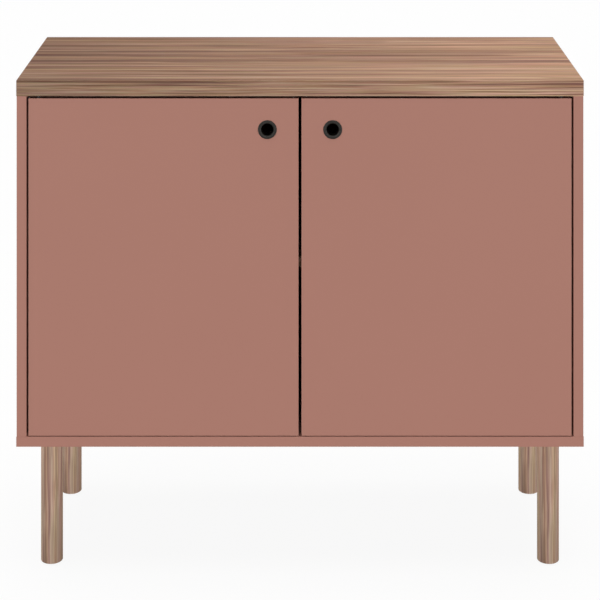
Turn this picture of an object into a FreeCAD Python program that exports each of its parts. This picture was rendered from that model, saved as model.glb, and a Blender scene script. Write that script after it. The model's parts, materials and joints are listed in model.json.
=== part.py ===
import FreeCAD, Part
import math
import os

# A two-door accent cabinet on four round legs, in millimetres.
# X runs to the right, Y to the back and Z up. The origin is on the floor under the middle.

# Overall sizes
cabinet_width = 900.0
cabinet_depth = 350.0

# Carcass panels
top_thick = 25.0
base_thick = 16.0
side_thick = 15.5
side_height = 540.0
side_inset = 0.6            # the top and the base stand out past each side by this
edge_easing = 0.4           # rounding of every panel edge
back_thick = 3.0
back_edge_reveal = 1.0      # the back board stays inside the sides' and the base's outline by this
back_top_gap = 0.5

# Doors and the gaps round them
door_thick = 16.0
door_recess = 1.0           # the doors' faces lie behind the front plane by this
door_top_gap = 3.7
door_bottom_gap = 1.0
door_side_gap = 3.1
door_centre_gap = 4.7

# Pivot pins, in the middle of the door's thickness
swing_clearance = 1.1       # least room between the turning door edge and the side panel
pin_radius = 3.0
pin_running_clearance = 0.05
pin_in_door = 20.0
pin_in_bush = 10.0
pin_collar_radius = 4.5
pin_bearing_clearance = 0.05
pin_tip_chamfer = 0.6
bush_radius = 5.5
bush_length = 12.0

# Finger rings
ring_edge_offset = 49.5     # from the door's free edge to the ring's centre
ring_top_offset = 49.5      # from the door's top edge to the ring's centre
ring_flange_radius = 15.0
ring_bore_radius = 9.5
ring_tube_wall = 2.0
ring_outer_round = 0.7
ring_inner_round = 1.6
ring_back_thick = 1.0

# Shelf and its supports
shelf_thick = 15.0
shelf_centre_height = 268.0     # above the base's upper face
shelf_end_clearance = 1.0
shelf_back_clearance = 1.0
shelf_swing_clearance = 1.5
support_width = 12.0
support_ledge = 9.0
support_ledge_thick = 2.0
support_plate_thick = 1.5
support_plate_height = 15.0
support_pin_radius = 2.5
support_pin_depth = 8.0
support_pin_drop = 8.0          # from the shelf's underside to the pin
support_edge_offset = 55.0      # from the shelf's front and back edges
support_hole_pitch = 32.0
support_hole_steps = (-1, 0, 1)

# Legs, their plates and glides
leg_radius = 17.5
leg_height = 200.0
leg_inset = 50.0            # from the cabinet's ends and front and back to each leg's centre
leg_foot_round = 1.0
plate_side = 50.0
plate_thick = 2.0
plate_corner = 5.0
plate_boss_radius = 5.5
plate_boss_height = 8.0
plate_screw_offset = 19.0   # from the leg's centre, along X and along Y
plate_screw_radius = 1.9
plate_screw_length = 12.0
plate_screw_head_radius = 3.5
plate_screw_head_height = 1.6
plate_screw_point = 3.0
leg_bolt_radius = 4.0
leg_bolt_in_leg = 35.0
glide_radius = 11.0
glide_thick = 2.0
glide_edge_round = 0.6
glide_nail_radius = 1.2
glide_nail_length = 14.0
glide_nail_point = 2.5

# Cam fittings between the top and the sides
cam_radius = 7.5
cam_depth = 12.5
cam_setback = 24.0          # from the side's top edge to the disc's centre
cam_offset = 50.0           # from the side's front and rear edges
cam_cross_length = 9.0
cam_cross_width = 1.4
cam_cross_depth = 1.2
cam_bolt_thread_radius = 3.0
cam_bolt_thread_length = 11.0
cam_bolt_collar_radius = 3.7
cam_bolt_collar_length = 1.5
cam_bolt_shank_radius = 2.2
cam_bolt_head_radius = 3.3
cam_bolt_head_length = 3.0
cam_bolt_hole_radius = 4.0

# Dowels and base screws in the sides' edges
dowel_radius = 4.0
dowel_length = 30.0
dowel_in_panel = 10.0       # the length that stands in the top or the base
dowel_offset = 95.0         # from the side's front and rear edges
dowel_end_chamfer = 0.8
base_screw_offset = 60.0
base_screw_head_radius = 5.0
base_screw_head_height = 3.5
base_screw_neck_radius = 3.5
base_screw_thread_radius = 2.9
base_screw_length = 50.0
base_screw_point = 3.0

# Nails of the back board
nail_radius = 0.8
nail_length = 18.0
nail_head_radius = 1.8
nail_head_thick = 0.7
nail_point = 2.0
nail_end_offset = 25.0
side_nail_count = 5
base_nail_count = 8

# Magnetic catches and strike plates
catch_edge_offset = 28.0    # from the door's free edge to the catch's centre
catch_width = 26.0
catch_depth = 15.0
catch_height = 16.0
catch_tab_length = 9.0      # past each end of the case
catch_tab_thick = 3.0
catch_tab_depth = 11.0
catch_corner = 1.5
catch_air_gap = 0.15        # between the magnet and the strike plate
magnet_width = 20.0
magnet_height = 9.0
magnet_depth = 6.0
magnet_proud = 0.4
magnet_drop = 9.5           # from the top's underside to the magnet's centre
strike_width = 38.0
strike_height = 11.0
strike_thick = 1.2
strike_corner = 2.0
strike_screw_offset = 14.0
small_screw_radius = 1.5
small_screw_head_radius = 2.6
small_screw_length = 13.0
small_screw_point = 2.0

# Room for fixed pins, screws, dowels and discs, and how far a cut runs past a face
fixed_clearance = 0.08
hole_spare = 1.0
overrun = 5.0

# Levels and places that follow from the sizes
front_y = -cabinet_depth / 2
top_rear_y = cabinet_depth / 2
panel_rear_y = top_rear_y - back_thick
cabinet_end_x = cabinet_width / 2
side_outer_x = cabinet_end_x - side_inset
side_inner_x = side_outer_x - side_thick
side_middle_x = side_inner_x + side_thick / 2

leg_bottom_z = glide_thick
plate_bottom_z = leg_bottom_z + leg_height
base_bottom_z = plate_bottom_z + plate_thick
base_top_z = base_bottom_z + base_thick
top_bottom_z = base_top_z + side_height
top_top_z = top_bottom_z + top_thick

door_front_y = front_y + door_recess
door_rear_y = door_front_y + door_thick
door_bottom_z = base_top_z + door_bottom_gap
door_top_z = top_bottom_z - door_top_gap
door_hinge_x = side_inner_x - door_side_gap
door_free_x = door_centre_gap / 2

# The pivot is far enough from the hinge edge for the door's corners to pass the side panel:
# their radius about the pivot is the pivot's inset plus what is left of the side gap.
corner_reach = door_side_gap - swing_clearance
pivot_inset = ((door_thick / 2) ** 2 - corner_reach ** 2) / (2 * corner_reach)
swing_radius = pivot_inset + corner_reach
pivot_x = door_hinge_x - pivot_inset
pivot_y = door_front_y + door_thick / 2

ring_x = door_free_x + ring_edge_offset
ring_z = door_top_z - ring_top_offset
ring_tube_radius = ring_bore_radius + ring_tube_wall

shelf_bottom_z = base_top_z + shelf_centre_height - shelf_thick / 2
shelf_top_z = shelf_bottom_z + shelf_thick
shelf_front_y = pivot_y + swing_radius + shelf_swing_clearance
shelf_rear_y = panel_rear_y - shelf_back_clearance
shelf_end_x = side_inner_x - shelf_end_clearance
support_ys = (shelf_front_y + support_edge_offset, shelf_rear_y - support_edge_offset)
support_pin_z = shelf_bottom_z - support_pin_drop

leg_x = cabinet_end_x - leg_inset
leg_y = cabinet_depth / 2 - leg_inset
cam_z = top_bottom_z - cam_setback
cam_ys = (front_y + cam_offset, panel_rear_y - cam_offset)
dowel_ys = (front_y + dowel_offset, panel_rear_y - dowel_offset)
base_screw_ys = (front_y + base_screw_offset, panel_rear_y - base_screw_offset)
catch_x = door_free_x + catch_edge_offset
catch_front_y = door_rear_y + strike_thick + catch_air_gap + magnet_proud
magnet_z = top_bottom_z - magnet_drop

UP = (0, 0, 1)
DOWN = (0, 0, -1)
FORWARD = (0, -1, 0)
BACKWARD = (0, 1, 0)
LEFT_AND_RIGHT = {"left": -1, "right": 1}
FRONT_AND_REAR = {"front": -1, "rear": 1}


def vector(point):
    return FreeCAD.Vector(*point)


def block(corner, opposite):
    """A box between two opposite corners, given in any order."""
    low = [min(a, b) for a, b in zip(corner, opposite)]
    high = [max(a, b) for a, b in zip(corner, opposite)]
    size = [b - a for a, b in zip(low, high)]
    return Part.makeBox(*size, vector(low))


def rod(radius, length, start, along):
    return Part.makeCylinder(radius, length, vector(start), vector(along))


def placed(shape, at, along):
    """Turns a shape made along Z so that it points along a direction, and moves it."""
    turn = FreeCAD.Rotation(vector(UP), vector(along))
    shape.Placement = FreeCAD.Placement(vector(at), turn)
    return shape


def turned(outline, at, along):
    """A turned solid: the outline holds (radius, distance along the axis) points."""
    points = [FreeCAD.Vector(radius, 0, height) for radius, height in outline]
    face = Part.Face(Part.makePolygon(points + points[:1]))
    solid = face.revolve(vector((0, 0, 0)), vector(UP), 360)
    return placed(solid, at, along)


def eased(solid, radius=edge_easing):
    return solid.makeFillet(radius, solid.Edges)


def with_round_corners(solid, radius, direction):
    """Rounds the edges of a box that run along one direction."""
    axis = vector(direction)
    edges = [edge for edge in solid.Edges if abs(edge.tangentAt(edge.FirstParameter).dot(axis)) > 0.5]
    return solid.makeFillet(radius, edges)


def pin_screw(head, shank_radius, length, point, at, along):
    """A screw or nail: head is its outline, and the shank ends in a point."""
    outline = [(0, 0)] + head + [
        (shank_radius, head[-1][1]),
        (shank_radius, length - point),
        (0, length),
    ]
    return turned(outline, at, along)


def save(name, *shapes):
    """Writes one node: a single solid, or a group of separate ones."""
    solids = [solid for shape in shapes for solid in shape.Solids]
    node = solids[0] if len(solids) == 1 else Part.makeCompound(solids)
    node.exportStep("parts/" + name + ".step")
    volume = sum(solid.Volume for solid in solids)
    print(f"{name:26s} {len(solids):3d} solids {volume:12.1f} mm3  valid {node.isValid()}")


def spread(low, high, count):
    """Places spaced evenly from low to high."""
    return [low + (high - low) * n / (count - 1) for n in range(count)]


def side_nail_places(sign):
    heights = spread(base_top_z + nail_end_offset, top_bottom_z - nail_end_offset, side_nail_count)
    return [(sign * side_middle_x, z) for z in heights]


def base_nail_places():
    reach = side_inner_x - nail_end_offset
    middle_z = base_bottom_z + base_thick / 2
    return [(x, middle_z) for x in spread(-reach, reach, base_nail_count)]


def nail_holes(places):
    start_y = top_rear_y + overrun
    length = nail_length + overrun + hole_spare
    radius = nail_radius + fixed_clearance
    return [rod(radius, length, (x, start_y, z), FORWARD) for x, z in places]


def top_panel():
    body = eased(block((-cabinet_end_x, front_y, top_bottom_z), (cabinet_end_x, top_rear_y, top_top_z)))
    cuts = []
    for sign in LEFT_AND_RIGHT.values():
        x = sign * side_middle_x
        for y in cam_ys:
            cuts.append(rod(cam_bolt_thread_radius + fixed_clearance,
                            overrun + cam_bolt_thread_length + hole_spare,
                            (x, y, top_bottom_z - overrun), UP))
        for y in dowel_ys:
            cuts.append(rod(dowel_radius + fixed_clearance, overrun + dowel_in_panel + hole_spare,
                            (x, y, top_bottom_z - overrun), UP))
        cuts.append(rod(bush_radius + fixed_clearance, overrun + bush_length + fixed_clearance,
                        (sign * pivot_x, pivot_y, top_bottom_z - overrun), UP))
        for place in catch_screw_places(sign):
            cuts.append(countersink((*place, top_bottom_z - catch_tab_thick), UP))
    return body.cut(cuts)


def base_panel():
    body = eased(block((-cabinet_end_x, front_y, base_bottom_z), (cabinet_end_x, panel_rear_y, base_top_z)))
    cuts = nail_holes(base_nail_places())
    for sign in LEFT_AND_RIGHT.values():
        x = sign * side_middle_x
        for y in dowel_ys:
            cuts.append(rod(dowel_radius + fixed_clearance, overrun + dowel_in_panel + hole_spare,
                            (x, y, base_top_z + overrun), DOWN))
        for y in base_screw_ys:
            start = (x, y, base_bottom_z - overrun)
            cuts.append(rod(base_screw_neck_radius + fixed_clearance,
                            base_thick + 2 * overrun, start, UP))
            cuts.append(rod(base_screw_head_radius + fixed_clearance,
                            overrun + base_screw_head_height + fixed_clearance, start, UP))
        cuts.append(rod(bush_radius + fixed_clearance, overrun + bush_length + fixed_clearance,
                        (sign * pivot_x, pivot_y, base_top_z + overrun), DOWN))
        for depth_sign in FRONT_AND_REAR.values():
            centre = (sign * leg_x, depth_sign * leg_y)
            cuts.append(rod(plate_boss_radius + fixed_clearance, overrun + plate_boss_height + hole_spare,
                            (*centre, base_bottom_z - overrun), UP))
            for place in plate_screw_places(*centre):
                cuts.append(rod(plate_screw_radius + fixed_clearance,
                                overrun + plate_screw_length + hole_spare,
                                (*place, base_bottom_z - overrun), UP))
    return body.cut(cuts)


def side_panel(sign):
    inner, outer, middle = sign * side_inner_x, sign * side_outer_x, sign * side_middle_x
    body = eased(block((inner, front_y, base_top_z), (outer, panel_rear_y, top_bottom_z)))
    outward = (sign, 0, 0)
    cuts = nail_holes(side_nail_places(sign))
    for y in cam_ys:
        cuts.append(rod(cam_bolt_hole_radius, overrun + cam_setback,
                        (middle, y, top_bottom_z + overrun), DOWN))
        cuts.append(rod(cam_radius, overrun + cam_depth, (inner - sign * overrun, y, cam_z), outward))
    dowel_hole_radius = dowel_radius + fixed_clearance
    dowel_hole_depth = overrun + dowel_length - dowel_in_panel + hole_spare
    for y in dowel_ys:
        cuts.append(rod(dowel_hole_radius, dowel_hole_depth, (middle, y, top_bottom_z + overrun), DOWN))
        cuts.append(rod(dowel_hole_radius, dowel_hole_depth, (middle, y, base_top_z - overrun), UP))
    screw_hole = overrun + base_screw_length - base_thick + hole_spare
    for y in base_screw_ys:
        cuts.append(rod(base_screw_thread_radius + fixed_clearance, screw_hole,
                        (middle, y, base_top_z - overrun), UP))
    for y in support_ys:
        for step in support_hole_steps:
            z = support_pin_z + step * support_hole_pitch
            cuts.append(rod(support_pin_radius + fixed_clearance,
                            overrun + support_pin_depth + hole_spare,
                            (inner - sign * overrun, y, z), outward))
    return body.cut(cuts)


def back_panel():
    edge_x = side_outer_x - back_edge_reveal
    board = block((-edge_x, panel_rear_y, base_bottom_z + back_edge_reveal),
                  (edge_x, top_rear_y, top_bottom_z - back_top_gap))
    places = base_nail_places()
    for sign in LEFT_AND_RIGHT.values():
        places += side_nail_places(sign)
    heads = [rod(nail_head_radius + fixed_clearance, overrun + nail_head_thick + fixed_clearance,
                 (x, top_rear_y + overrun, z), FORWARD) for x, z in places]
    return board.cut(nail_holes(places) + heads)


def back_panel_nails():
    head = [(nail_head_radius, 0), (nail_head_radius, nail_head_thick)]
    places = base_nail_places()
    for sign in LEFT_AND_RIGHT.values():
        places += side_nail_places(sign)
    return [pin_screw(head, nail_radius, nail_length, nail_point, (x, top_rear_y, z), FORWARD)
            for x, z in places]


def shelf():
    return eased(block((-shelf_end_x, shelf_front_y, shelf_bottom_z),
                       (shelf_end_x, shelf_rear_y, shelf_top_z)))


def shelf_support(sign, y):
    """A flat ledge under the shelf, on a plate against the side, with a pin into the side."""
    inner = sign * side_inner_x
    half = support_width / 2
    ledge = block((inner, y - half, shelf_bottom_z - support_ledge_thick),
                  (inner - sign * support_ledge, y + half, shelf_bottom_z))
    plate = block((inner, y - half, shelf_bottom_z - support_plate_height),
                  (inner - sign * support_plate_thick, y + half, shelf_bottom_z))
    pin = rod(support_pin_radius, support_plate_thick + support_pin_depth,
              (inner - sign * support_plate_thick, y, support_pin_z), (sign, 0, 0))
    return ledge.fuse([plate, pin]).removeSplitter()


def cam_bolt(sign, y):
    """Screwed up into the top; its collar and head stand in the side's edge."""
    head_end = -cam_setback - cam_bolt_head_length / 2
    head_start = head_end + cam_bolt_head_length
    outline = [
        (0, cam_bolt_thread_length),
        (cam_bolt_thread_radius, cam_bolt_thread_length),
        (cam_bolt_thread_radius, 0),
        (cam_bolt_collar_radius, 0),
        (cam_bolt_collar_radius, -cam_bolt_collar_length),
        (cam_bolt_shank_radius, -cam_bolt_collar_length),
        (cam_bolt_shank_radius, head_start),
        (cam_bolt_head_radius, head_start),
        (cam_bolt_head_radius, head_end),
        (0, head_end),
    ]
    return turned(outline, (sign * side_middle_x, y, top_bottom_z), UP)


def cam_disc(sign, y):
    """A drum with a slot for the bolt's head and a cross for the driver."""
    face = sign * side_inner_x
    drum = rod(cam_radius - fixed_clearance, cam_depth - fixed_clearance, (face, y, cam_z), (sign, 0, 0))
    half = cam_bolt_head_radius + fixed_clearance
    middle = sign * side_middle_x
    floor_z = cam_z - cam_bolt_head_length / 2 - fixed_clearance
    slot = block((middle - half, y - half, floor_z), (middle + half, y + half, cam_z + cam_radius + overrun))
    cuts = [slot]
    into = face + sign * cam_cross_depth
    outside = face - sign * overrun
    long, short = cam_cross_length / 2, cam_cross_width / 2
    for half_y, half_z in ((long, short), (short, long)):
        cuts.append(block((outside, y - half_y, cam_z - half_z), (into, y + half_y, cam_z + half_z)))
    return drum.cut(cuts)


def dowel(at, along):
    """A fluted pin drawn plain, with eased ends; at is the end inside the top or base."""
    outline = [
        (0, 0),
        (dowel_radius - dowel_end_chamfer, 0),
        (dowel_radius, dowel_end_chamfer),
        (dowel_radius, dowel_length - dowel_end_chamfer),
        (dowel_radius - dowel_end_chamfer, dowel_length),
        (0, dowel_length),
    ]
    return turned(outline, at, along)


def side_dowels():
    pins = []
    for sign in LEFT_AND_RIGHT.values():
        for y in dowel_ys:
            pins.append(dowel((sign * side_middle_x, y, top_bottom_z + dowel_in_panel), DOWN))
            pins.append(dowel((sign * side_middle_x, y, base_top_z - dowel_in_panel), UP))
    return pins


def base_screw(sign, y):
    head = [
        (base_screw_head_radius, 0),
        (base_screw_head_radius, base_screw_head_height),
        (base_screw_neck_radius, base_screw_head_height),
        (base_screw_neck_radius, base_thick),
    ]
    return pin_screw(head, base_screw_thread_radius, base_screw_length, base_screw_point,
                     (sign * side_middle_x, y, base_bottom_z), UP)


def leg(x, y):
    body = rod(leg_radius, leg_height, (x, y, leg_bottom_z), UP)
    body = body.makeFillet(leg_foot_round, [edge for edge in body.Edges if len(edge.Vertexes) == 1])
    bolt_hole = rod(leg_bolt_radius + fixed_clearance, overrun + leg_bolt_in_leg + hole_spare,
                    (x, y, plate_bottom_z + overrun), DOWN)
    nail_hole = rod(glide_nail_radius + fixed_clearance, overrun + glide_nail_length + hole_spare,
                    (x, y, leg_bottom_z - overrun), UP)
    return body.cut([bolt_hole, nail_hole])


def plate_screw_places(x, y):
    offset = plate_screw_offset
    return [(x + a * offset, y + b * offset) for a in (-1, 1) for b in (-1, 1)]


def leg_plate(x, y):
    """A square steel plate with a threaded boss that stands up into the base."""
    half = plate_side / 2
    sheet = block((x - half, y - half, plate_bottom_z), (x + half, y + half, base_bottom_z))
    sheet = with_round_corners(sheet, plate_corner, UP)
    boss = rod(plate_boss_radius, plate_thick + plate_boss_height, (x, y, plate_bottom_z), UP)
    start_z = plate_bottom_z - overrun
    through = plate_thick + plate_boss_height + 2 * overrun
    cuts = [rod(leg_bolt_radius + fixed_clearance, through, (x, y, start_z), UP)]
    for place in plate_screw_places(x, y):
        cuts.append(rod(plate_screw_radius + fixed_clearance, through, (*place, start_z), UP))
    return sheet.fuse(boss).removeSplitter().cut(cuts)


def leg_plate_screws(x, y):
    head_z = plate_bottom_z - plate_screw_head_height
    head = [
        (plate_screw_head_radius * 2 / 3, 0),
        (plate_screw_head_radius, plate_screw_head_height / 2),
        (plate_screw_head_radius, plate_screw_head_height),
    ]
    length = plate_screw_head_height + plate_thick + plate_screw_length
    return [pin_screw(head, plate_screw_radius, length, plate_screw_point, (*place, head_z), UP)
            for place in plate_screw_places(x, y)]


def leg_bolt(x, y):
    length = leg_bolt_in_leg + plate_thick + plate_boss_height
    return rod(leg_bolt_radius, length, (x, y, plate_bottom_z - leg_bolt_in_leg), UP)


def glide(x, y):
    outline = [
        (0, 0),
        (glide_radius - glide_edge_round, 0),
        (glide_radius, glide_edge_round),
        (glide_radius, glide_thick),
        (glide_nail_radius, glide_thick),
        (glide_nail_radius, glide_thick + glide_nail_length - glide_nail_point),
        (0, glide_thick + glide_nail_length),
    ]
    return turned(outline, (x, y, 0), UP)


def door_panel(sign):
    body = eased(block((sign * door_free_x, door_front_y, door_bottom_z),
                       (sign * door_hinge_x, door_rear_y, door_top_z)))
    hole = pin_radius + fixed_clearance
    depth = overrun + pin_in_door + hole_spare
    x = sign * pivot_x
    cuts = [
        rod(hole, depth, (x, pivot_y, door_top_z + overrun), DOWN),
        rod(hole, depth, (x, pivot_y, door_bottom_z - overrun), UP),
        rod(ring_tube_radius + fixed_clearance, door_thick + 2 * overrun,
            (sign * ring_x, door_front_y - overrun, ring_z), BACKWARD),
    ]
    for x, z in strike_screw_places(sign):
        cuts.append(countersink((x, door_rear_y + strike_thick, z), FORWARD))
    return body.cut(cuts)


def finger_ring(sign):
    """A tube with a rounded front flange, drawn as half a section and turned about its axis."""
    inner, outer, tube = ring_bore_radius, ring_flange_radius, ring_tube_radius
    length = door_recess + door_thick + ring_back_thick
    middle_share = 1 - math.sqrt(0.5)

    def at(radius, height):
        return FreeCAD.Vector(radius, 0, height)

    inner_arc = Part.Arc(at(inner, ring_inner_round),
                         at(inner + ring_inner_round * middle_share, ring_inner_round * middle_share),
                         at(inner + ring_inner_round, 0)).toShape()
    outer_arc = Part.Arc(at(outer - ring_outer_round, 0),
                         at(outer - ring_outer_round * middle_share, ring_outer_round * middle_share),
                         at(outer, ring_outer_round)).toShape()
    edges = [
        Part.makeLine(at(inner, length), at(inner, ring_inner_round)),
        inner_arc,
        Part.makeLine(at(inner + ring_inner_round, 0), at(outer - ring_outer_round, 0)),
        outer_arc,
        Part.makeLine(at(outer, ring_outer_round), at(outer, door_recess)),
        Part.makeLine(at(outer, door_recess), at(tube, door_recess)),
        Part.makeLine(at(tube, door_recess), at(tube, length)),
        Part.makeLine(at(tube, length), at(inner, length)),
    ]
    section = Part.Face(Part.Wire(edges))
    ring = section.revolve(vector((0, 0, 0)), vector(UP), 360)
    return placed(ring, (sign * ring_x, front_y, ring_z), BACKWARD)


def ring_back(sign):
    """A flat nut ring on the tube's end, against the door's back."""
    inner, outer = ring_tube_radius + fixed_clearance, ring_flange_radius
    bevel = ring_back_thick / 2
    outline = [
        (inner, 0),
        (outer, 0),
        (outer, ring_back_thick - bevel),
        (outer - bevel, ring_back_thick),
        (inner, ring_back_thick),
    ]
    return turned(outline, (sign * ring_x, door_rear_y, ring_z), BACKWARD)


def top_pin(sign):
    length = pin_in_door + door_top_gap + pin_in_bush
    outline = [
        (0, 0),
        (pin_radius, 0),
        (pin_radius, length - pin_tip_chamfer),
        (pin_radius - pin_tip_chamfer, length),
        (0, length),
    ]
    return turned(outline, (sign * pivot_x, pivot_y, door_top_z - pin_in_door), UP)


def bottom_pin(sign):
    """Its collar stands on the bush and carries the door."""
    collar_start = pin_in_door
    collar_end = collar_start + door_bottom_gap - pin_bearing_clearance
    length = pin_in_door + door_bottom_gap + pin_in_bush
    outline = [
        (0, 0),
        (pin_radius, 0),
        (pin_radius, collar_start),
        (pin_collar_radius, collar_start),
        (pin_collar_radius, collar_end),
        (pin_radius, collar_end),
        (pin_radius, length - pin_tip_chamfer),
        (pin_radius - pin_tip_chamfer, length),
        (0, length),
    ]
    return turned(outline, (sign * pivot_x, pivot_y, door_bottom_z + pin_in_door), DOWN)


def pivot_bush(sign, level, along):
    bore = pin_radius + pin_running_clearance
    outline = [(bore, 0), (bush_radius, 0), (bush_radius, bush_length), (bore, bush_length)]
    return turned(outline, (sign * pivot_x, pivot_y, level), along)


def catch_screw_places(sign):
    offset = catch_width / 2 + catch_tab_length / 2
    y = catch_front_y + catch_depth - catch_tab_depth / 2
    return [(sign * catch_x + a * offset, y) for a in (-1, 1)]


def catch_case(sign):
    """The magnet's housing under the top, with a tab at each end."""
    x = sign * catch_x
    half = catch_width / 2
    rear_y = catch_front_y + catch_depth
    case = block((x - half, catch_front_y, top_bottom_z - catch_height), (x + half, rear_y, top_bottom_z))
    case = with_round_corners(case, catch_corner, UP)
    reach = half + catch_tab_length
    tabs = block((x - reach, rear_y - catch_tab_depth, top_bottom_z - catch_tab_thick),
                 (x + reach, rear_y, top_bottom_z))
    tabs = with_round_corners(tabs, catch_corner, UP)
    pocket_half = magnet_width / 2 + fixed_clearance
    pocket_z = magnet_height / 2 + fixed_clearance
    pocket_y = catch_front_y + magnet_depth - magnet_proud + fixed_clearance
    pocket = block((x - pocket_half, catch_front_y - overrun, magnet_z - pocket_z),
                   (x + pocket_half, pocket_y, magnet_z + pocket_z))
    cuts = [pocket]
    for place in catch_screw_places(sign):
        cuts.append(countersink((*place, top_bottom_z - catch_tab_thick), UP))
    return case.fuse(tabs).removeSplitter().cut(cuts)


def catch_magnet(sign):
    x = sign * catch_x
    half, half_z = magnet_width / 2, magnet_height / 2
    start_y = catch_front_y - magnet_proud
    return block((x - half, start_y, magnet_z - half_z),
                 (x + half, start_y + magnet_depth, magnet_z + half_z))


def small_screw(at, along):
    """A countersunk screw whose head lies flush with the face at its start."""
    head = [(small_screw_head_radius, 0), (small_screw_radius, small_screw_head_radius - small_screw_radius)]
    return pin_screw(head, small_screw_radius, small_screw_length, small_screw_point, at, along)


def countersink(at, along):
    """The cut for a small screw, with room round its head and shank."""
    radius = small_screw_radius + fixed_clearance
    head_radius = small_screw_head_radius + fixed_clearance
    outline = [
        (0, -overrun),
        (head_radius, -overrun),
        (head_radius, 0),
        (radius, head_radius - radius),
        (radius, small_screw_length + hole_spare),
        (0, small_screw_length + hole_spare),
    ]
    return turned(outline, at, along)


def strike_screw_places(sign):
    return [(sign * catch_x + a * strike_screw_offset, magnet_z) for a in (-1, 1)]


def strike_plate(sign):
    x = sign * catch_x
    half, half_z = strike_width / 2, strike_height / 2
    rear_y = door_rear_y + strike_thick
    plate = block((x - half, door_rear_y, magnet_z - half_z), (x + half, rear_y, magnet_z + half_z))
    plate = with_round_corners(plate, strike_corner, BACKWARD)
    return plate.cut([countersink((x, rear_y, z), FORWARD) for x, z in strike_screw_places(sign)])


def strike_screws(sign):
    rear_y = door_rear_y + strike_thick
    return [small_screw((x, rear_y, z), FORWARD) for x, z in strike_screw_places(sign)]


def catch_screws(sign):
    start_z = top_bottom_z - catch_tab_thick
    return [small_screw((*place, start_z), UP) for place in catch_screw_places(sign)]


def save_carcass():
    save("top_panel", top_panel())
    save("base_panel", base_panel())
    for name, sign in LEFT_AND_RIGHT.items():
        save(name + "_side_panel", side_panel(sign))
    save("back_panel", back_panel())
    save("back_panel_nails", *back_panel_nails())
    save("shelf", shelf())
    signs = LEFT_AND_RIGHT.values()
    save("shelf_supports", *[shelf_support(sign, y) for sign in signs for y in support_ys])
    save("cam_bolts", *[cam_bolt(sign, y) for sign in signs for y in cam_ys])
    save("cam_discs", *[cam_disc(sign, y) for sign in signs for y in cam_ys])
    save("side_dowels", *side_dowels())
    save("base_screws", *[base_screw(sign, y) for sign in signs for y in base_screw_ys])


def save_legs():
    places = []
    for depth_name, depth_sign in FRONT_AND_REAR.items():
        for name, sign in LEFT_AND_RIGHT.items():
            x, y = sign * leg_x, depth_sign * leg_y
            places.append((x, y))
            corner = depth_name + "_" + name
            save(corner + "_leg", leg(x, y))
            save(corner + "_leg_plate", leg_plate(x, y))
            save(corner + "_glide", glide(x, y))
    save("leg_plate_screws", *[screw for place in places for screw in leg_plate_screws(*place)])
    save("leg_bolts", *[leg_bolt(*place) for place in places])


def save_doors():
    for name, sign in LEFT_AND_RIGHT.items():
        save(name + "_door_panel", door_panel(sign))
        save(name + "_finger_ring", finger_ring(sign))
        save(name + "_ring_back", ring_back(sign))
        save(name + "_top_pin", top_pin(sign))
        save(name + "_bottom_pin", bottom_pin(sign))
        save(name + "_top_bush", pivot_bush(sign, top_bottom_z, UP))
        save(name + "_bottom_bush", pivot_bush(sign, base_top_z, DOWN))
        save(name + "_strike_plate", strike_plate(sign))
        save(name + "_strike_screws", *strike_screws(sign))
        save(name + "_catch_case", catch_case(sign))
        save(name + "_catch_magnet", catch_magnet(sign))
    save("catch_screws", *[screw for sign in LEFT_AND_RIGHT.values() for screw in catch_screws(sign)])


os.makedirs("parts", exist_ok=True)
save_carcass()
save_legs()
save_doors()
print(f"pivots at x {pivot_x:.3f}, y {pivot_y:.3f}; swing radius {swing_radius:.3f}")
print(f"rings at x {ring_x:.3f}, z {ring_z:.3f}; shelf front at y {shelf_front_y:.3f}")
print(f"top at z {top_top_z:.3f}")
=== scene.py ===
# %% [markdown]
# # Dressing an accent cabinet
#
# The cabinet comes as a packed model: boards, legs, pins and screws at their real size, in metres,
# with +X to the right, +Y to the back and +Z up. This lesson loads that model as a fixed frame and
# gives it its looks: a studio, a camera, procedural finishes, and a few pieces made anew where the
# packed solids lack a detail that the eye would miss.

# %% Load the frame
import json
import math

import bpy
import numpy as np
from mathutils import Matrix, Vector


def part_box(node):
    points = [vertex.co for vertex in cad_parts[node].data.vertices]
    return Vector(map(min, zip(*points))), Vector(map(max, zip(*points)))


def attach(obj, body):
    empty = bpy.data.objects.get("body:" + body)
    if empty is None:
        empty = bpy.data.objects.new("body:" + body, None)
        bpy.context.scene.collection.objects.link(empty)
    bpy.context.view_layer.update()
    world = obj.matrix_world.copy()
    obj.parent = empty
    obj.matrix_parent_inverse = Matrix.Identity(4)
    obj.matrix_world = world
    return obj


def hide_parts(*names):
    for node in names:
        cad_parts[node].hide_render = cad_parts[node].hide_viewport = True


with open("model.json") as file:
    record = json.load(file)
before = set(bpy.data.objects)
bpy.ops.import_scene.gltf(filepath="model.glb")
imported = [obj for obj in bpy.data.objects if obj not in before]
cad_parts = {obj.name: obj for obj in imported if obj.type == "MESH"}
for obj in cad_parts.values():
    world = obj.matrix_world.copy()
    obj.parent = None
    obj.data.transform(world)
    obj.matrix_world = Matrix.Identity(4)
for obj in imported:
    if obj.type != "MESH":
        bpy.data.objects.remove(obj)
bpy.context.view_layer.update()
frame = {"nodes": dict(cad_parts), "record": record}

# %% [markdown]
# ## Sizes to work from
#
# The place of every new piece is read from the packed boxes, so none is fitted by eye. Only a size
# that a box can't tell, such as the bore of the finger ring, is written down where it is needed.

# %% Places read from the frame
MM = 0.001
top_low, top_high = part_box("top_panel")
base_low, base_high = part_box("base_panel")
front_y = top_low.y
cabinet_height = top_high.z
print("top", [round(v, 4) for v in top_high - top_low], "height", round(cabinet_height, 4))

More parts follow.
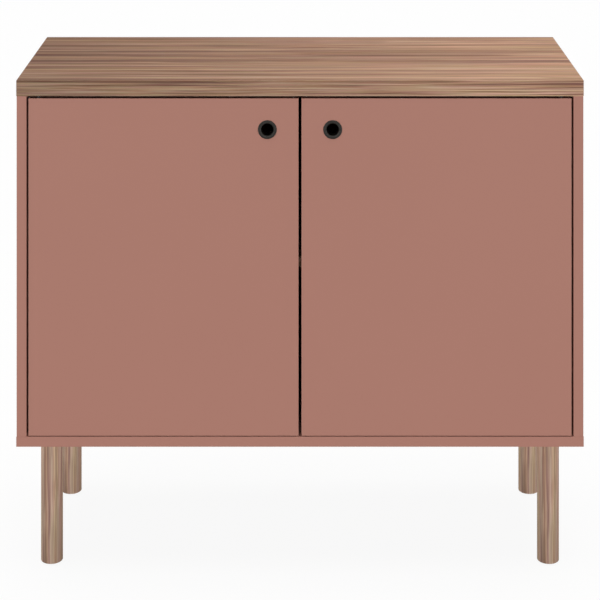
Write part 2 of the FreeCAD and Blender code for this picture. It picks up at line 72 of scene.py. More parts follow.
# %% [markdown]
# ## The camera
#
# The front of the cabinet is a true rectangle in the picture, yet its top is seen from above: the
# camera stood high and looked straight ahead, and only the lower part of its view was kept. A
# technical camera does this by sliding its back. Here the camera hangs from a stand whose parent
# matrix is sheared: the picture plane stays upright while the line of sight runs down through the
# cabinet's middle, so the frame needs no lens shift at all.
#
# The eye's place comes from the picture: the edges of the top, which run away from us, meet on the
# horizon, and the ratio of front and rear widths gives the distance.

# %% Make the camera
picture_size = 600
focal_pixels = 1810.0
horizon_pixel = -318.7
eye_to_front = 2.870
eye_above_top = 0.6329
sensor = 36.0

slope = (picture_size / 2 - horizon_pixel) / focal_pixels
tilt = math.atan(slope)
eye = Vector((0, front_y - eye_to_front, cabinet_height + eye_above_top))
stand = bpy.data.objects.new("camera_stand", None)
bpy.context.scene.collection.objects.link(stand)
camera = bpy.data.objects.new("camera", bpy.data.cameras.new("camera"))
bpy.context.scene.collection.objects.link(camera)
camera.data.sensor_width = sensor
camera.data.lens = sensor * focal_pixels / math.cos(tilt) / picture_size
camera.parent = stand
upright = Matrix(((1, 0, 0, eye.x),
                  (0, 0, -math.cos(tilt), eye.y),
                  (0, 1, math.sin(tilt), eye.z),
                  (0, 0, 0, 1)))
camera.matrix_parent_inverse = upright
bpy.context.scene.camera = camera
print("lens", round(camera.data.lens, 2), "mm, line of sight", round(math.degrees(tilt), 2), "degrees down")

# %% [markdown]
# ## Shader sums written as Python
#
# A finish is a graph of nodes, and one long sum takes a dozen of them. Linked by hand, such a graph is
# hard to read and easy to get wrong. So a small class wraps a socket and takes over the signs of
# addition, subtraction and multiplication: a sum written in Python adds its own Math nodes. Any other
# node comes from one method, which takes its type, its settings and its sockets.

# %% A class that turns sums into shader nodes
MIX_SLOTS = {"factor": 0, "a": 6, "b": 7}
MIX_COLOUR_OUT = 2
OBJECT_OUT = 3


class Wire:
    """A socket of a node tree. Sums and products written with it become Math nodes."""

    def __init__(self, tree, socket=None):
        self.tree = tree
        self.socket = socket

    def node(self, kind, settings=None, sockets=None, output=0):
        """Adds any node: its settings first, then the values or links of its sockets."""
        made = self.tree.nodes.new(kind)
        for name, value in (settings or {}).items():
            if name == "stops":
                ends = made.color_ramp.elements
                (ends[0].position, ends[0].color), (ends[1].position, ends[1].color) = value[0], value[-1]
                for position, colour in value[1:-1]:
                    made.color_ramp.elements.new(position).color = colour
            else:
                setattr(made, name, value)
        for name, value in (sockets or {}).items():
            if isinstance(value, Wire):
                self.tree.links.new(value.socket, made.inputs[name])
            else:
                made.inputs[name].default_value = value
        return Wire(self.tree, made.outputs[output]) if len(made.outputs) else None

    def math(self, operation, *values):
        """One Math node; what a Wire calls it on only says which tree it goes into."""
        return self.node("ShaderNodeMath", {"operation": operation}, dict(enumerate(values)))

    def vector(self, operation, *values, output=0, **sockets):
        """One Vector Math node, whose scale is given by its name."""
        sockets |= dict(enumerate(values))
        return self.node("ShaderNodeVectorMath", {"operation": operation}, sockets, output)

    def mix(self, factor, a, b, kind="MIX"):
        """Blends two colours."""
        sockets = {MIX_SLOTS["factor"]: factor, MIX_SLOTS["a"]: a, MIX_SLOTS["b"]: b}
        return self.node("ShaderNodeMix", {"data_type": "RGBA", "blend_type": kind}, sockets, MIX_COLOUR_OUT)

    def smooth(self, low, high):
        """Rises smoothly from 0 at low to 1 at high."""
        sockets = {"Value": self, "From Min": low, "From Max": high}
        return self.node("ShaderNodeMapRange", {"interpolation_type": "SMOOTHSTEP"}, sockets)

    def part(self, axis):
        """One coordinate of a vector: 0, 1 or 2."""
        return self.node("ShaderNodeSeparateXYZ", {}, {0: self}, axis)

    def __add__(self, other):
        return self.math("ADD", self, other)

    def __radd__(self, other):
        return self.math("ADD", other, self)

    def __sub__(self, other):
        return self.math("SUBTRACT", self, other)

    def __rsub__(self, other):
        return self.math("SUBTRACT", other, self)

    def __mul__(self, other):
        return self.math("MULTIPLY", self, other)

    def __rmul__(self, other):
        return self.math("MULTIPLY", other, self)


print("class", Wire.__name__, "made:", Wire.__doc__)

# %% [markdown]
# ## Light that shows colours as they are written
#
# Suns and a dim sky light the cabinet. A high, soft one brightens the top. Low ones stand all round
# it, the same in front as behind: they light the upright faces, round the legs and reach in under the
# base. None stands straight before the doors, because it would shine through the gap between them and
# light the strip of the back that the camera sees there. Two that stand four degrees to the side still
# reach the shelf's edge. As there are many of them, none throws a hard shadow inside when the doors
# stand open. The sky stays dim so that narrow gaps go dark as they do in a real room. The levels are
# chosen so that a face turned to the camera renders about its own base colour, and the Standard view
# shows that colour as it is written.
#
# The white ground of the picture isn't made by more light. The sky and the floor only look white to
# the camera, and to reflections, through the Light Path node. The floor mixes that white with its
# shaded colour, so that the cabinet keeps a faint shadow, and the light that it sends back to the
# cabinet comes from a middle grey.

# %% White for the camera and for reflections
WHITE = (1, 1, 1, 1)


def grey(level):
    """A colour with red, green and blue alike."""
    return (level, level, level, 1)


def seen_white(root):
    """1 for camera, glossy and transmission rays, and 0 for the light that falls on things."""
    rays = [root.node("ShaderNodeLightPath", output=slot) for slot in
            ("Is Camera Ray", "Is Glossy Ray", "Is Transmission Ray")]
    return rays[0].math("MAXIMUM", rays[0].math("MAXIMUM", rays[0], rays[1]), rays[2])


# %% Make the sky
sky_level = 0.12
world = bpy.data.worlds.new("studio_sky")
bpy.context.scene.world = world
world.use_nodes = True
world.node_tree.nodes.clear()
root = Wire(world.node_tree)
strength = seen_white(root) * (1 - sky_level) + sky_level
sky = root.node("ShaderNodeBackground", {}, {"Color": WHITE, "Strength": strength})
root.node("ShaderNodeOutputWorld", {}, {"Surface": sky})
bpy.context.scene.view_settings.view_transform = "Standard"
print("sky level", sky_level)

# %% Make the suns
suns = {
    # name: (level, degrees above the horizon, softness in degrees, degrees to the right of the front)
    "high_sun": (0.76, 90, 45, (0,)),
    "oblique_sun": (0.205, 0.8, 1.5, (-50, 50, -130, 130)),
    "near_sun": (0.196, 0.8, 1.5, (-25, 25, -155, 155)),
    "forward_sun": (0.059, 0.8, 1.5, (-4, 4, -176, 176)),
    "side_sun": (0.08, 0.8, 1.5, (-90, 90)),
}


def soft_suns(name, level, height, softness, bearings):
    """Suns whose light alone makes a face square to one of them render at that share of its colour."""
    lamp = bpy.data.lights.new(name, "SUN")
    lamp.energy = level * math.pi
    lamp.angle = math.radians(softness)
    for bearing in bearings:
        holder = bpy.data.objects.new(name, lamp)
        holder.rotation_euler = (math.radians(90 - height), 0, math.radians(bearing))
        bpy.context.scene.collection.objects.link(holder)


for name, settings in suns.items():
    soft_suns(name, *settings)
print("suns", {name: len(settings[-1]) for name, settings in suns.items()})

# %% Make the floor
floor_colour, floor_seen_colour = grey(0.25), grey(0.97)
floor_whiteness = 0.93
floor_reach = 60.0
floor_corners = np.array([(-1, -1, 0), (1, -1, 0), (1, 1, 0), (-1, 1, 0)], float) * floor_reach
floor_mesh = bpy.data.meshes.new("studio_floor")
floor_mesh.from_pydata(floor_corners.tolist(), [], [(0, 1, 2, 3)])
floor = bpy.data.objects.new("studio_floor", floor_mesh)
bpy.context.scene.collection.objects.link(floor)
paper = bpy.data.materials.new("studio_paper")
paper.use_nodes = True
paper.node_tree.nodes.clear()
root = Wire(paper.node_tree)
seen = seen_white(root)
shaded = root.node("ShaderNodeBsdfDiffuse", {}, {"Color": root.mix(seen, floor_colour, floor_seen_colour)})
glow = root.node("ShaderNodeEmission", {}, {"Color": WHITE, "Strength": 1.0})
look = root.node("ShaderNodeMixShader", {}, {0: seen * floor_whiteness, 1: shaded, 2: glow})
root.node("ShaderNodeOutputMaterial", {}, {"Surface": look})
floor_mesh.materials.append(paper)
print("floor", 2 * floor_reach, "m wide, white to", floor_whiteness)

# %% [markdown]
# ## Finishes
#
# Each finish is a small recipe that reads Object coordinates: the place of the point on the cabinet,
# in metres. Noise stretched along the grain gives streaks, and because the noise is solid it runs
# over an edge the way a real board's figure does. A recipe returns the sockets of one Principled
# shader.

# %% Helpers for finishes
finishes = {}


def finish(name, recipe, **details):
    """Makes a material: recipe(place, **details) returns the Principled shader's sockets."""
    material = bpy.data.materials.new(name)
    material.use_nodes = True
    material.node_tree.nodes.clear()
    root = Wire(material.node_tree)
    place = root.node("ShaderNodeTexCoord", output=OBJECT_OUT)
    shader = root.node("ShaderNodeBsdfPrincipled", {}, recipe(place, **details))
    root.node("ShaderNodeOutputMaterial", {}, {"Surface": shader})
    finishes[name] = material
    print("finish", name, len(material.node_tree.nodes), "nodes")
    return material


def noise(place, per_metre, start=(0, 0, 0), detail=2.0, roughness=0.5, output=0):
    """Solid noise, 0 to 1, with its own count of features per metre along each axis."""
    mapped = place.node("ShaderNodeMapping", {}, {"Vector": place, "Location": start, "Scale": per_metre})
    sockets = {"Vector": mapped, "Scale": 1.0, "Detail": detail, "Roughness": roughness}
    return place.node("ShaderNodeTexNoise", {}, sockets, output)


def along_grain(axis, along, across):
    """Features per metre for a noise that is long along one axis and fine across it."""
    return tuple(along if n == axis else across for n in range(3))


def bump(place, height, distance, strength):
    """The surface's direction, tilted as if height, 0 to 1, stood up by distance in metres."""
    sockets = {"Height": height, "Distance": distance, "Strength": strength}
    return place.node("ShaderNodeBump", {}, sockets)


# %% [markdown]
# ### The walnut look of the top and the legs
#
# The top is a wood print or veneer with a straight, fine figure: long streaks a few millimetres
# wide, from a dark reddish brown to a pale tan, and a slow drift from a darker left to a paler right.
# Two slow noises bend the grain. Five more, from a hand's width to about a millimetre, add up to the
# tone of the streaks. They are solid noise, so that the figure goes on through the whole board.

# %% The figure of straight-grained wood
streak_layers = (
    # features per metre across the grain, then along it, then weight
    (14, 0.7, 0.18),
    (48, 0.9, 0.20),
    (120, 1.2, 0.22),
    (300, 2.6, 0.22),
    (700, 6.0, 0.18),
)
grain_bends = (
    # bends per metre along the grain, then across it, then metres to the side
    (2.2, 5.0, 0.012),
    (9.0, 30.0, 0.0025),
)


def straight_grain(place, axis, seed, fineness, bend):
    """The place bent by slow noise, and the tone, 0 to 1, of long streaks added up from all layers."""
    bent = place
    for along, across, aside in grain_bends:
        wander = noise(place, along_grain(axis, along, across), (seed, 0, 0), 2.0, 0.5, output=1)
        centred = place.vector("SCALE", place.vector("SUBTRACT", wander, (0.5, 0.5, 0.5)), Scale=bend)
        sideways = tuple(0.0 if n == axis else aside for n in range(3))
        bent = place.vector("MULTIPLY_ADD", centred, sideways, bent)
    layers = [noise(bent, along_grain(axis, along, across * fineness), (seed, row, seed + row), 1.0) * weight
              for row, (across, along, weight) in enumerate(streak_layers)]
    return bent, sum(layers[1:], layers[0])


print(len(streak_layers), "layers of streaks, of total weight", sum(row[-1] for row in streak_layers))

# %% [markdown]
# ### The lines that the eye picks out
#
# A board is known by a few broad bands and sharp lines more than by its fine streaks. So these are
# listed, with a ruler laid over the picture, for the face of the top and for its edge. Each one
# lightens or darkens the figure where the plain noise differs most from the real board, and another
# noise breaks it up a little.

# %% Lines listed
face_lines = (
    # millimetres back from the middle, half width, tone added at the left end, then at the right end
    (140, 28, 0.07, 0.00),
    (103, 8, -0.03, -0.11),
    (75, 8, -0.02, -0.10),
    (58, 8, 0.12, 0.00),
    (45, 8, -0.03, 0.00),
    (20, 18, -0.06, 0.07),
    (-3, 7, 0.03, 0.00),
    (-27, 13, -0.09, -0.08),
    (-50, 16, 0.02, 0.10),
    (-80, 16, -0.07, 0.02),
    (-142, 28, 0.06, -0.07),
    (-155, 8, 0.06, 0.04),
)
edge_lines = (
    # millimetres up from the middle, half width, tone added at the left end, then at the right end
    (12, 4, 0.05, -0.06),
    (10, 1.5, -0.05, 0.01),
    (7.5, 2.5, 0.14, -0.02),
    (5, 4, 0.03, -0.12),
    (4.5, 1.5, -0.07, 0.03),
    (2, 2.5, 0.03, -0.04),
    (-1, 1.5, 0.08, -0.01),
    (-4, 1.5, -0.05, 0.09),
    (-9, 4, 0.09, -0.05),
    (-12, 1.5, 0.05, 0.10),
)


def chosen_lines(place, across, half_length, lines):
    """Tone of single lines: (left to right) * (1 - smoothstep(distance / half width)) * noise."""
    broken = noise(place, (3.0, 60.0, 60.0), (7.7, 0, 0), 1.0) + 0.5
    tones = []
    for centre, half_width, left, right in lines:
        away = across - centre * MM
        hump = 1 - away.math("ABSOLUTE", away).smooth(0, half_width * MM)
        tones.append(hump * (place.part(0) * ((right - left) / 2 / half_length) + (left + right) / 2))
    return sum(tones[1:], tones[0]) * broken


print(len(face_lines), "lines on the face,", len(edge_lines), "on the edge")

# %% [markdown]
# ### Strips glued round the board
#
# The edge and the ends of the top aren't cut from its face: they wear a thin strip of the same print,
# glued on, that runs along each side of the board. Its figure is straighter, finer and stronger, and
# its colour darker: partly its own tone, partly painted shade for upright faces that get little of
# the high light. A second piece could carry it, but the packed board is one solid that stays as it
# is. So the finish itself tells a strip from the face by its place, and turns the grain along it.

# %% Tell the strips from the face
def on_strips(place, strips):
    """The place turned along each strip, multiplied by its stretch and shifted, and 1 on the strips."""
    x, y, z = (place.part(n) for n in range(3))
    past_end = x.math("ABSOLUTE", x) - strips["half_width"]
    past_edge = y.math("ABSOLUTE", y) - strips["half_depth"]
    on_end = past_end.math("GREATER_THAN", past_end, 0.0)
    on_strip = past_end.math("GREATER_THAN", past_end.math("MAXIMUM", past_end, past_edge), 0.0)
    swapped = place.node("ShaderNodeCombineXYZ", {}, {0: y, 1: x, 2: z})
    turn = place.vector("SCALE", place.vector("SUBTRACT", swapped, place), Scale=on_end)
    stretched = place.vector("SCALE", tuple(value - 1 for value in strips["stretch"]), Scale=on_strip)
    turned = place.vector("ADD", place, turn)
    moved = place.vector("MULTIPLY", turned, place.vector("ADD", stretched, (1, 1, 1)))
    return place.vector("ADD", moved, place.vector("SCALE", strips["shift"], Scale=on_strip)), on_strip


# Half a millimetre deep; the last five say how the figure of a strip differs from that of the face
strip_depth = 0.5 * MM
half_sizes = (top_high - top_low) / 2 - Vector((strip_depth, strip_depth, 0))
top_strips = {
    "half_width": half_sizes.x,
    "half_depth": half_sizes.y,
    "shift": (0, 0, 8.47),
    "stretch": (2.5, 1.0, 2.8),
    # painted shade in part: the strips are darkened partly because upright faces get little of the high
    # light
    "shade": 0.78,
    "contrast": 1.35,
    "bend": 0.3,
}
print("strips", top_strips)

# %% [markdown]
# ### From tone to colour
#
# A ramp turns the tone into four browns, redder where they are darker. Two patchy noises then turn
# the hue, one between pink and olive and one between mauve and warm, which keeps brown from looking
# painted. A last noise draws the pores.

# %% Walnut recipe
dark_streak, mid_brown = (0.190, 0.100, 0.076, 1), (0.305, 0.176, 0.122, 1)
tan, pale_line = (0.395, 0.243, 0.166, 1), (0.570, 0.390, 0.272, 1)
brown_stops = [(0.41, dark_streak), (0.47, mid_brown), (0.52, tan), (0.60, pale_line)]
hue_patches = (
    # patches per metre along the grain, then the two tints that they run between
    (8.0, (1.03, 0.97, 1.0, 1), (0.97, 1.03, 1.0, 1)),
    (3.0, (1.0, 1.0, 1.08, 1), (1.0, 1.0, 0.92, 1)),
)
hues_across, pores_along, pores_across, pore_share = 150.0, 30.0, 1500.0, 0.30


def walnut(place, axis, seed, drift, tint, centre, fineness=1.0, strips=None):
    """ramp(tone) * both hues, darkened in the pores, * tint * (1 + drift * metres along the grain)."""
    place = place.vector("SUBTRACT", place, tuple(centre))
    shade, bend = place.part(axis) * drift + 1, 1.0
    if strips:
        whole = place
        place, on_strip = on_strips(whole, strips)
        drawn = (chosen_lines(whole, whole.part(1), strips["half_width"], face_lines) * (1 - on_strip)
                 + chosen_lines(whole, whole.part(2), strips["half_width"], edge_lines) * on_strip)
        # painted shade in part: the strips are darkened by their shade factor
        shade = shade * (1 - on_strip * (1 - strips["shade"]))
        bend = 1 - on_strip * (1 - strips["bend"])
    bent, tone = straight_grain(place, axis, seed, fineness, bend)
    if strips:
        tone = tone + (tone - 0.5) * (on_strip * (strips["contrast"] - 1)) + drawn
    colour = place.node("ShaderNodeValToRGB", {"stops": brown_stops}, {"Fac": tone})
    for per_metre, first, second in hue_patches:
        hue = noise(bent, along_grain(axis, per_metre, hues_across), (4.4, per_metre, seed), 2.0)
        colour = place.mix(1.0, colour, place.mix(hue.smooth(0.38, 0.62), first, second), "MULTIPLY")
    pore = noise(bent, along_grain(axis, pores_along, pores_across), (seed, seed, 0), 1.0).smooth(0.62, 0.78)
    colour = place.mix(pore * pore_share, colour, dark_streak)
    tinted = place.node("ShaderNodeCombineColor", {}, {n: shade * tint[n] for n in range(3)})
    colour = place.mix(1.0, colour, tinted, "MULTIPLY")
    return {
        "Base Color": colour,
        "Roughness": 0.80 - tone * 0.20 + pore * 0.08,
        "Specular IOR Level": 0.03,
        "Normal": bump(place, tone - pore * 0.5, 0.00008, 0.6),
    }


top_centre = (top_low + top_high) / 2
finish("walnut_top", walnut, axis=0, seed=50.9, drift=0.64, tint=(1.03, 0.99, 0.95), centre=top_centre,
       strips=top_strips)
finish("walnut_shelf", walnut, axis=0, seed=5.3, drift=0.0, tint=(1.0, 1.0, 1.0), centre=(0, 0, 0))

# %% [markdown]
# ### The legs
#
# The legs are turned from solid wood of the same look, so the same recipe runs up them, a little finer
# and paler. Each has its own middle as the centre, so all four show the same good side to the front.
# The two at the rear stand in less light, so their colour is painted paler to make up for it: painted light.

# %% Finish the legs
leg_names = ("front_left", "front_right", "rear_left", "rear_right")
# painted light: the rear legs' colour is raised by 15 percent, for the light that they lack under the
# cabinet
leg_tint, leg_painted_light = (1.11, 1.21, 1.27), {"front": 1.0, "rear": 1.15}
for name in leg_names:
    low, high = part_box(name + "_leg")
    tint = tuple(leg_painted_light[name.split("_")[0]] * value for value in leg_tint)
    # the drift makes each leg's colour darker towards its foot
    finish("walnut_" + name, walnut, axis=2, seed=35.83, drift=1.2, tint=tint, centre=(low + high) / 2,
           fineness=1.5)

# %% [markdown]
# ### The rose lacquer
#
# Doors, sides and base share one dusty rose finish without grain. Real lacquer isn't perfectly flat:
# it has a faint orange peel, and its tone wanders by a percent or two over a hand's width.

# %% Rose recipe
rose = (0.384, 0.180, 0.138, 1)
rose_deep = (0.366, 0.170, 0.130, 1)


def rose_lacquer(place):
    """Matt lacquer on board."""
    drift = noise(place, (5, 5, 5), detail=3.0)
    speck = noise(place, (900, 900, 900), detail=1.0)
    peel = noise(place, (260, 260, 260), detail=2.0)
    return {
        "Base Color": place.mix(drift * 0.5 + speck * 0.2, rose, rose_deep),
        "Roughness": drift * 0.06 + peel * 0.05 + 0.52,
        "Specular IOR Level": 0.25,
        "Normal": bump(place, peel, 0.00003, 0.5),
    }


finish("rose_lacquer", rose_lacquer)

# %% [markdown]
# ### Hardware and hidden boards
#
# The finger rings are dark metal turned on a lathe, so fine rings of tool marks lie about their own
# centres. Screws and plates are zinc plated, the pins blackened, and the bushes and catches are
# moulded in brown nylon. The dowels are beech and the magnets bare ferrite. The back board is brown
# hardboard outside and rose inside.

# %% Metal recipes
ring_metal = (0.017, 0.0155, 0.013, 1)
zinc = (0.60, 0.60, 0.61, 1)
zinc_dull = (0.42, 0.43, 0.45, 1)
marks_per_metre = 5000


def turned_metal(place, centre):
    """Dark metal with tool marks in circles about an axis along Y through centre."""
    offset = place.vector("SUBTRACT", place, tuple(centre))
    radius = place.vector("LENGTH", place.vector("MULTIPLY", offset, (1, 0, 1)), output=1)
    mark = place.node("ShaderNodeTexNoise", {"noise_dimensions": "1D"},
                      {"W": radius * marks_per_metre, "Scale": 1.0})
    dust = noise(place, (400, 400, 400), detail=3.0)
    return {
        "Base Color": place.mix(dust.smooth(0.4, 0.75) * 0.4, ring_metal, grey(0.034)),
        "Metallic": 0.85,
        "Roughness": mark * 0.16 + dust * 0.10 + 0.28,
        "Normal": bump(place, mark, 0.00004, 0.5),
    }


def plated_steel(place):
    """Zinc plate with its faint crystal patches."""
    patch = noise(place, (260, 260, 260), detail=2.0)
    grain = noise(place, (1800, 1800, 1800), detail=1.0)
    return {
        "Base Color": place.mix(patch.smooth(0.35, 0.7), zinc, zinc_dull),
        "Metallic": 1.0,
        "Roughness": patch * 0.20 + 0.26,
        "Normal": bump(place, grain, 0.00001, 0.5),
    }


def blackened_steel(place):
    """Black oxide, a little worn through."""
    wear = noise(place, (700, 700, 700), detail=3.0)
    return {
        "Base Color": place.mix(wear.smooth(0.55, 0.8) * 0.5, grey(0.022), grey(0.12)),
        "Metallic": 0.8,
        "Roughness": wear * 0.2 + 0.35,
        "Normal": bump(place, wear, 0.00001, 0.5),
    }


for side in ("left", "right"):
    low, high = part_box(side + "_finger_ring")
    finish(side + "_ring_metal", turned_metal, centre=(low + high) / 2)
finish("zinc_plate", plated_steel)
finish("black_steel", blackened_steel)


# %% Recipe for moulded pieces
def moulded(place, colour):
    """Nylon or plastic from a mould, with a fine spark-eroded grain."""
    grain = noise(place, (1600, 1600, 1600), detail=2.0)
    cloud = noise(place, (60, 60, 60), detail=2.0)
    lighter = tuple(min(1.0, value * 1.25) for value in colour[:3]) + (1,)
    return {
        "Base Color": place.mix(cloud, colour, lighter),
        "Roughness": grain * 0.15 + 0.45,
        "Normal": bump(place, grain, 0.00002, 0.5),
    }


finish("brown_nylon", moulded, colour=(0.13, 0.070, 0.050, 1))
finish("glide_plastic", moulded, colour=grey(0.02))

# %% Recipes for dowels and magnets
beech_pale, beech_dark = (0.64, 0.44, 0.27, 1), (0.52, 0.33, 0.19, 1)


def beech(place):
    """Pale wood with short flecks along its grain."""
    fleck = noise(place, along_grain(2, 90.0, 900.0), detail=2.0)
    ring = noise(place, along_grain(2, 6.0, 260.0), detail=2.0)
    return {
        "Base Color": place.mix(ring * 0.7 + fleck * 0.3, beech_pale, beech_dark),
        "Roughness": fleck * 0.1 + 0.6,
        "Normal": bump(place, fleck, 0.00004, 0.5),
    }


def ferrite(place):
    """Dark grit, pressed and fired."""
    grit = noise(place, (1500, 1500, 1500), detail=3.0, roughness=0.7)
    return {
        "Base Color": place.mix(grit.smooth(0.45, 0.8), grey(0.035), grey(0.10)),
        "Roughness": grit * 0.2 + 0.5,
        "Normal": bump(place, grit, 0.00003, 0.6),
    }


finish("dowel_beech", beech)
finish("magnet_ferrite", ferrite)

# %% Recipe for the back board
fibre_light, fibre_dark = (0.34, 0.205, 0.118, 1), (0.20, 0.115, 0.064, 1)
painted_depth = 0.5 * MM


def hardboard(place, face_y):
    """Pressed fibre, smooth and brown outside, with the rose of the carcass on its inner face."""
    fibre = noise(place, (700, 700, 700), detail=4.0, roughness=0.7)
    cloud = noise(place, (14, 14, 14), detail=3.0)
    brown = place.mix(fibre * 0.6 + cloud * 0.4, fibre_light, fibre_dark)
    outside = place.part(1).math("GREATER_THAN", place.part(1), face_y)
    return {
        "Base Color": place.mix(outside, rose, brown),
        "Roughness": fibre * 0.14 + 0.56,
        "Specular IOR Level": 0.30,
        "Normal": bump(place, fibre, 0.00004, 0.5),
    }


finish("back_hardboard", hardboard, face_y=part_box("back_panel")[0].y + painted_depth)

# %% [markdown]
# ## Pieces turned on a lathe
#
# The finger rings, the nuts behind them and the screws are all turned work, so one surface makes
# them all: a section, given as radii and heights, is carried round an axis. A section that closes on
# itself gives a ring, and any other gives a solid that a flat cap ends at both sides. The angle is an
# array too, so that a face can hold a driver's cross, whose arms need columns of their own.

# %% Turn a section about an axis
node_slot = {row["node"]: row["material_slot"] for row in frame["record"]["subparts"]}
sharp_from = math.radians(28)
print(len(node_slot), "nodes, each with a slot")


def turned_piece(name, node, material, radius, height, angle, starts, along, ring=False):
    """start + along * height + radius * (side * cos(angle) + up * sin(angle)), side, up, along square.

    Rows of the three arrays follow the section with the material on their left, and columns go round.
    """
    radius, height, angle = (part[..., None] for part in np.broadcast_arrays(radius, height, angle))
    along = np.array(along, float)
    side = np.roll(np.abs(along), 1)
    up = np.cross(along, side)
    grid = along * height + radius * (side * np.cos(angle) + up * np.sin(angle))
    points = np.array(starts, float)[:, None, None, :] + grid
    rows, columns = grid.shape[:2]
    number = np.arange(rows * columns).reshape(rows, columns)
    this, after = (number, np.roll(number, -1, 0)) if ring else (number[:-1], number[1:])
    corners = np.stack([this, np.roll(this, -1, 1), np.roll(after, -1, 1), after], -1).reshape(-1, 4)
    copies = np.arange(len(starts))[:, None, None] * number.size
    faces = (copies + corners).reshape(-1, 4).tolist()
    if not ring:
        faces += (copies[:, 0] + number[0, ::-1]).tolist() + (copies[:, 0] + number[-1]).tolist()
    mesh = bpy.data.meshes.new(name)
    mesh.from_pydata(points.reshape(-1, 3).tolist(), [], faces)
    mesh.shade_smooth()
    mesh.set_sharp_from_angle(angle=sharp_from)
    mesh.materials.append(finishes[material])
    piece = bpy.data.objects.new(name, mesh)
    bpy.context.scene.collection.objects.link(piece)
    body = next(body for body, names in frame["record"]["behaviour"]["bodies"].items() if node in names)
    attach(piece, body)
    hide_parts(node)
    print(name, "on", body, len(faces), "faces")


def rounded(radius, height, bend, begin, end, steps=6):
    """Radii and heights of an arc about (radius, height), from begin to end degrees."""
    turn = np.radians(np.linspace(begin, end, steps + 1))
    return np.stack([radius + bend * np.cos(turn), height + bend * np.sin(turn)], 1)


# %% [markdown]
# ### Finger rings
#
# A finger ring is a turned metal bushing: its flange lies on the door's face, its tube lines the hole,
# and a nut holds it from behind. The flange's outer edge is broken lightly, the inner one is rolled
# over generously, because that is where the finger pulls, and a hairline groove runs between them.
# The nut has two slots for the spanner.

# %% Turn the rings and their nuts
outer_round, inner_round, bore_radius, tube_radius = 0.7 * MM, 1.6 * MM, 9.5 * MM, 11.5 * MM
groove_radius, groove_half, groove_depth = 13.2 * MM, 0.22 * MM, 0.14 * MM
around = np.linspace(0, 2 * math.pi, 96, endpoint=False)[None, :]
for side in ("left", "right"):
    low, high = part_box(side + "_finger_ring")
    panel_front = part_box(side + "_door_panel")[0].y
    flange_radius, length, proud = (high.x - low.x) / 2, high.y - low.y, panel_front - low.y
    section = np.vstack([
        rounded(flange_radius - outer_round, outer_round, outer_round, -90, 0),
        [(flange_radius, proud), (tube_radius, proud), (tube_radius, length), (bore_radius, length)],
        rounded(bore_radius + inner_round, inner_round, inner_round, 180, 270, 10),
        [(groove_radius - groove_half * 2, 0), (groove_radius - groove_half, groove_depth),
         (groove_radius + groove_half, groove_depth), (groove_radius + groove_half * 2, 0)],
    ])
    centre = [(low.x + high.x) / 2, low.y, (low.z + high.z) / 2]
    turned_piece(side + "_turned_ring", side + "_finger_ring", side + "_ring_metal", section[:, :1],
                 section[:, 1:], around, [centre], (0, 1, 0), ring=True)

slot_depth, slot_half_angle, nut_clearance = 1.6 * MM, math.radians(6), 0.05 * MM
in_slot = np.abs(around % math.pi - math.pi / 2) < slot_half_angle
for side in ("left", "right"):
    low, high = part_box(side + "_ring_back")
    thick, outer, inner = high.y - low.y, (high.x - low.x) / 2, tube_radius + nut_clearance
    section = np.array([(outer, 0), (outer, thick / 2), (outer - thick / 4, thick * 0.85),
                        (outer - thick / 2, thick), (inner, thick), (inner, 0)])
    radius = section[:, :1] - in_slot * slot_depth * (section[:, :1] > inner)
    centre = [(low.x + high.x) / 2, low.y, (low.z + high.z) / 2]
    turned_piece(side + "_ring_nut", side + "_ring_back", side + "_ring_metal", radius, section[:, 1:],
                 around, [centre], (0, 1, 0), ring=True)

# %% [markdown]
# ### Screws with their drives
#
# Anyone who opens a door sees the screws of the strike plates and catches, and from below those of the
# leg plates and the base. All have a cross for the driver, except the four long screws that come up
# through the base, which turn with a hexagon key.

# %% The face of a screw's head
corner_angle = math.radians(38)
wall_angle = math.radians(3)
arm_columns, face_columns, hexagon_columns = 3, 5, 48
even_angle = math.pi / 2 / (arm_columns + face_columns)
print("a cross has", 4 * (arm_columns + face_columns), "columns and a hexagon", hexagon_columns)


def cross_head(half_arm, reach, depth, outline):
    """A head's face with a cross sunk in it, then the rest of the screw.

    A quarter turn has eight columns: three in an arm, where the angle's sine is half_arm over the
    radius, and five on the face between two arms. The columns in an arm go down by the depth.
    """
    outline = np.array(outline)
    root = half_arm / math.sin(corner_angle)
    radius = np.r_[0.6 * root, root, 0.85 * reach, reach, outline[:, 0]]
    floor = np.r_[depth, 0.9 * depth, 0.5 * depth, 0, outline[:, 1]]
    face = np.r_[depth, 0, 0, 0, outline[:, 1]]
    crossed = np.arange(len(radius)) < 4
    half = np.where(crossed, np.arcsin(half_arm / np.maximum(radius, root)), even_angle)
    first = half + np.where(crossed, wall_angle, even_angle)
    arm = half[:, None] * np.linspace(-1, 1, arm_columns)
    between = first[:, None] + (math.pi / 2 - 2 * first)[:, None] * np.linspace(0, 1, face_columns)
    angle = np.hstack([np.hstack([arm, between]) + quarter * math.pi / 2 for quarter in range(4)])
    height = np.hstack([np.repeat(floor[:, None], arm_columns, 1),
                        np.repeat(face[:, None], face_columns, 1)] * 4)
    return radius[:, None], height, angle


def hexagon_head(half_across, depth, outline):
    """A head's face with a hexagon: half_across over the cosine of the angle from the nearest flat."""
    outline = np.array(outline)
    angle = np.linspace(0, 2 * math.pi, hexagon_columns, endpoint=False)[None, :]
    from_flat = (angle + math.pi / 6) % (math.pi / 3) - math.pi / 6
    hexagon = half_across / np.cos(from_flat)
    radius = np.vstack([hexagon, hexagon, np.repeat(outline[:, :1], hexagon_columns, 1)])
    return radius, np.r_[depth, 0, outline[:, 1]][:, None], angle


# %% Put in the small screws of strikes and catches
point_end = 0.1 * MM
small_head, small_shank, small_point = 2.6 * MM, 1.5 * MM, 2.0 * MM
small_bevel, small_rim = 0.15 * MM, 0.1 * MM
small_cross = {"half_arm": 0.36 * MM, "reach": 1.5 * MM, "depth": 0.9 * MM}


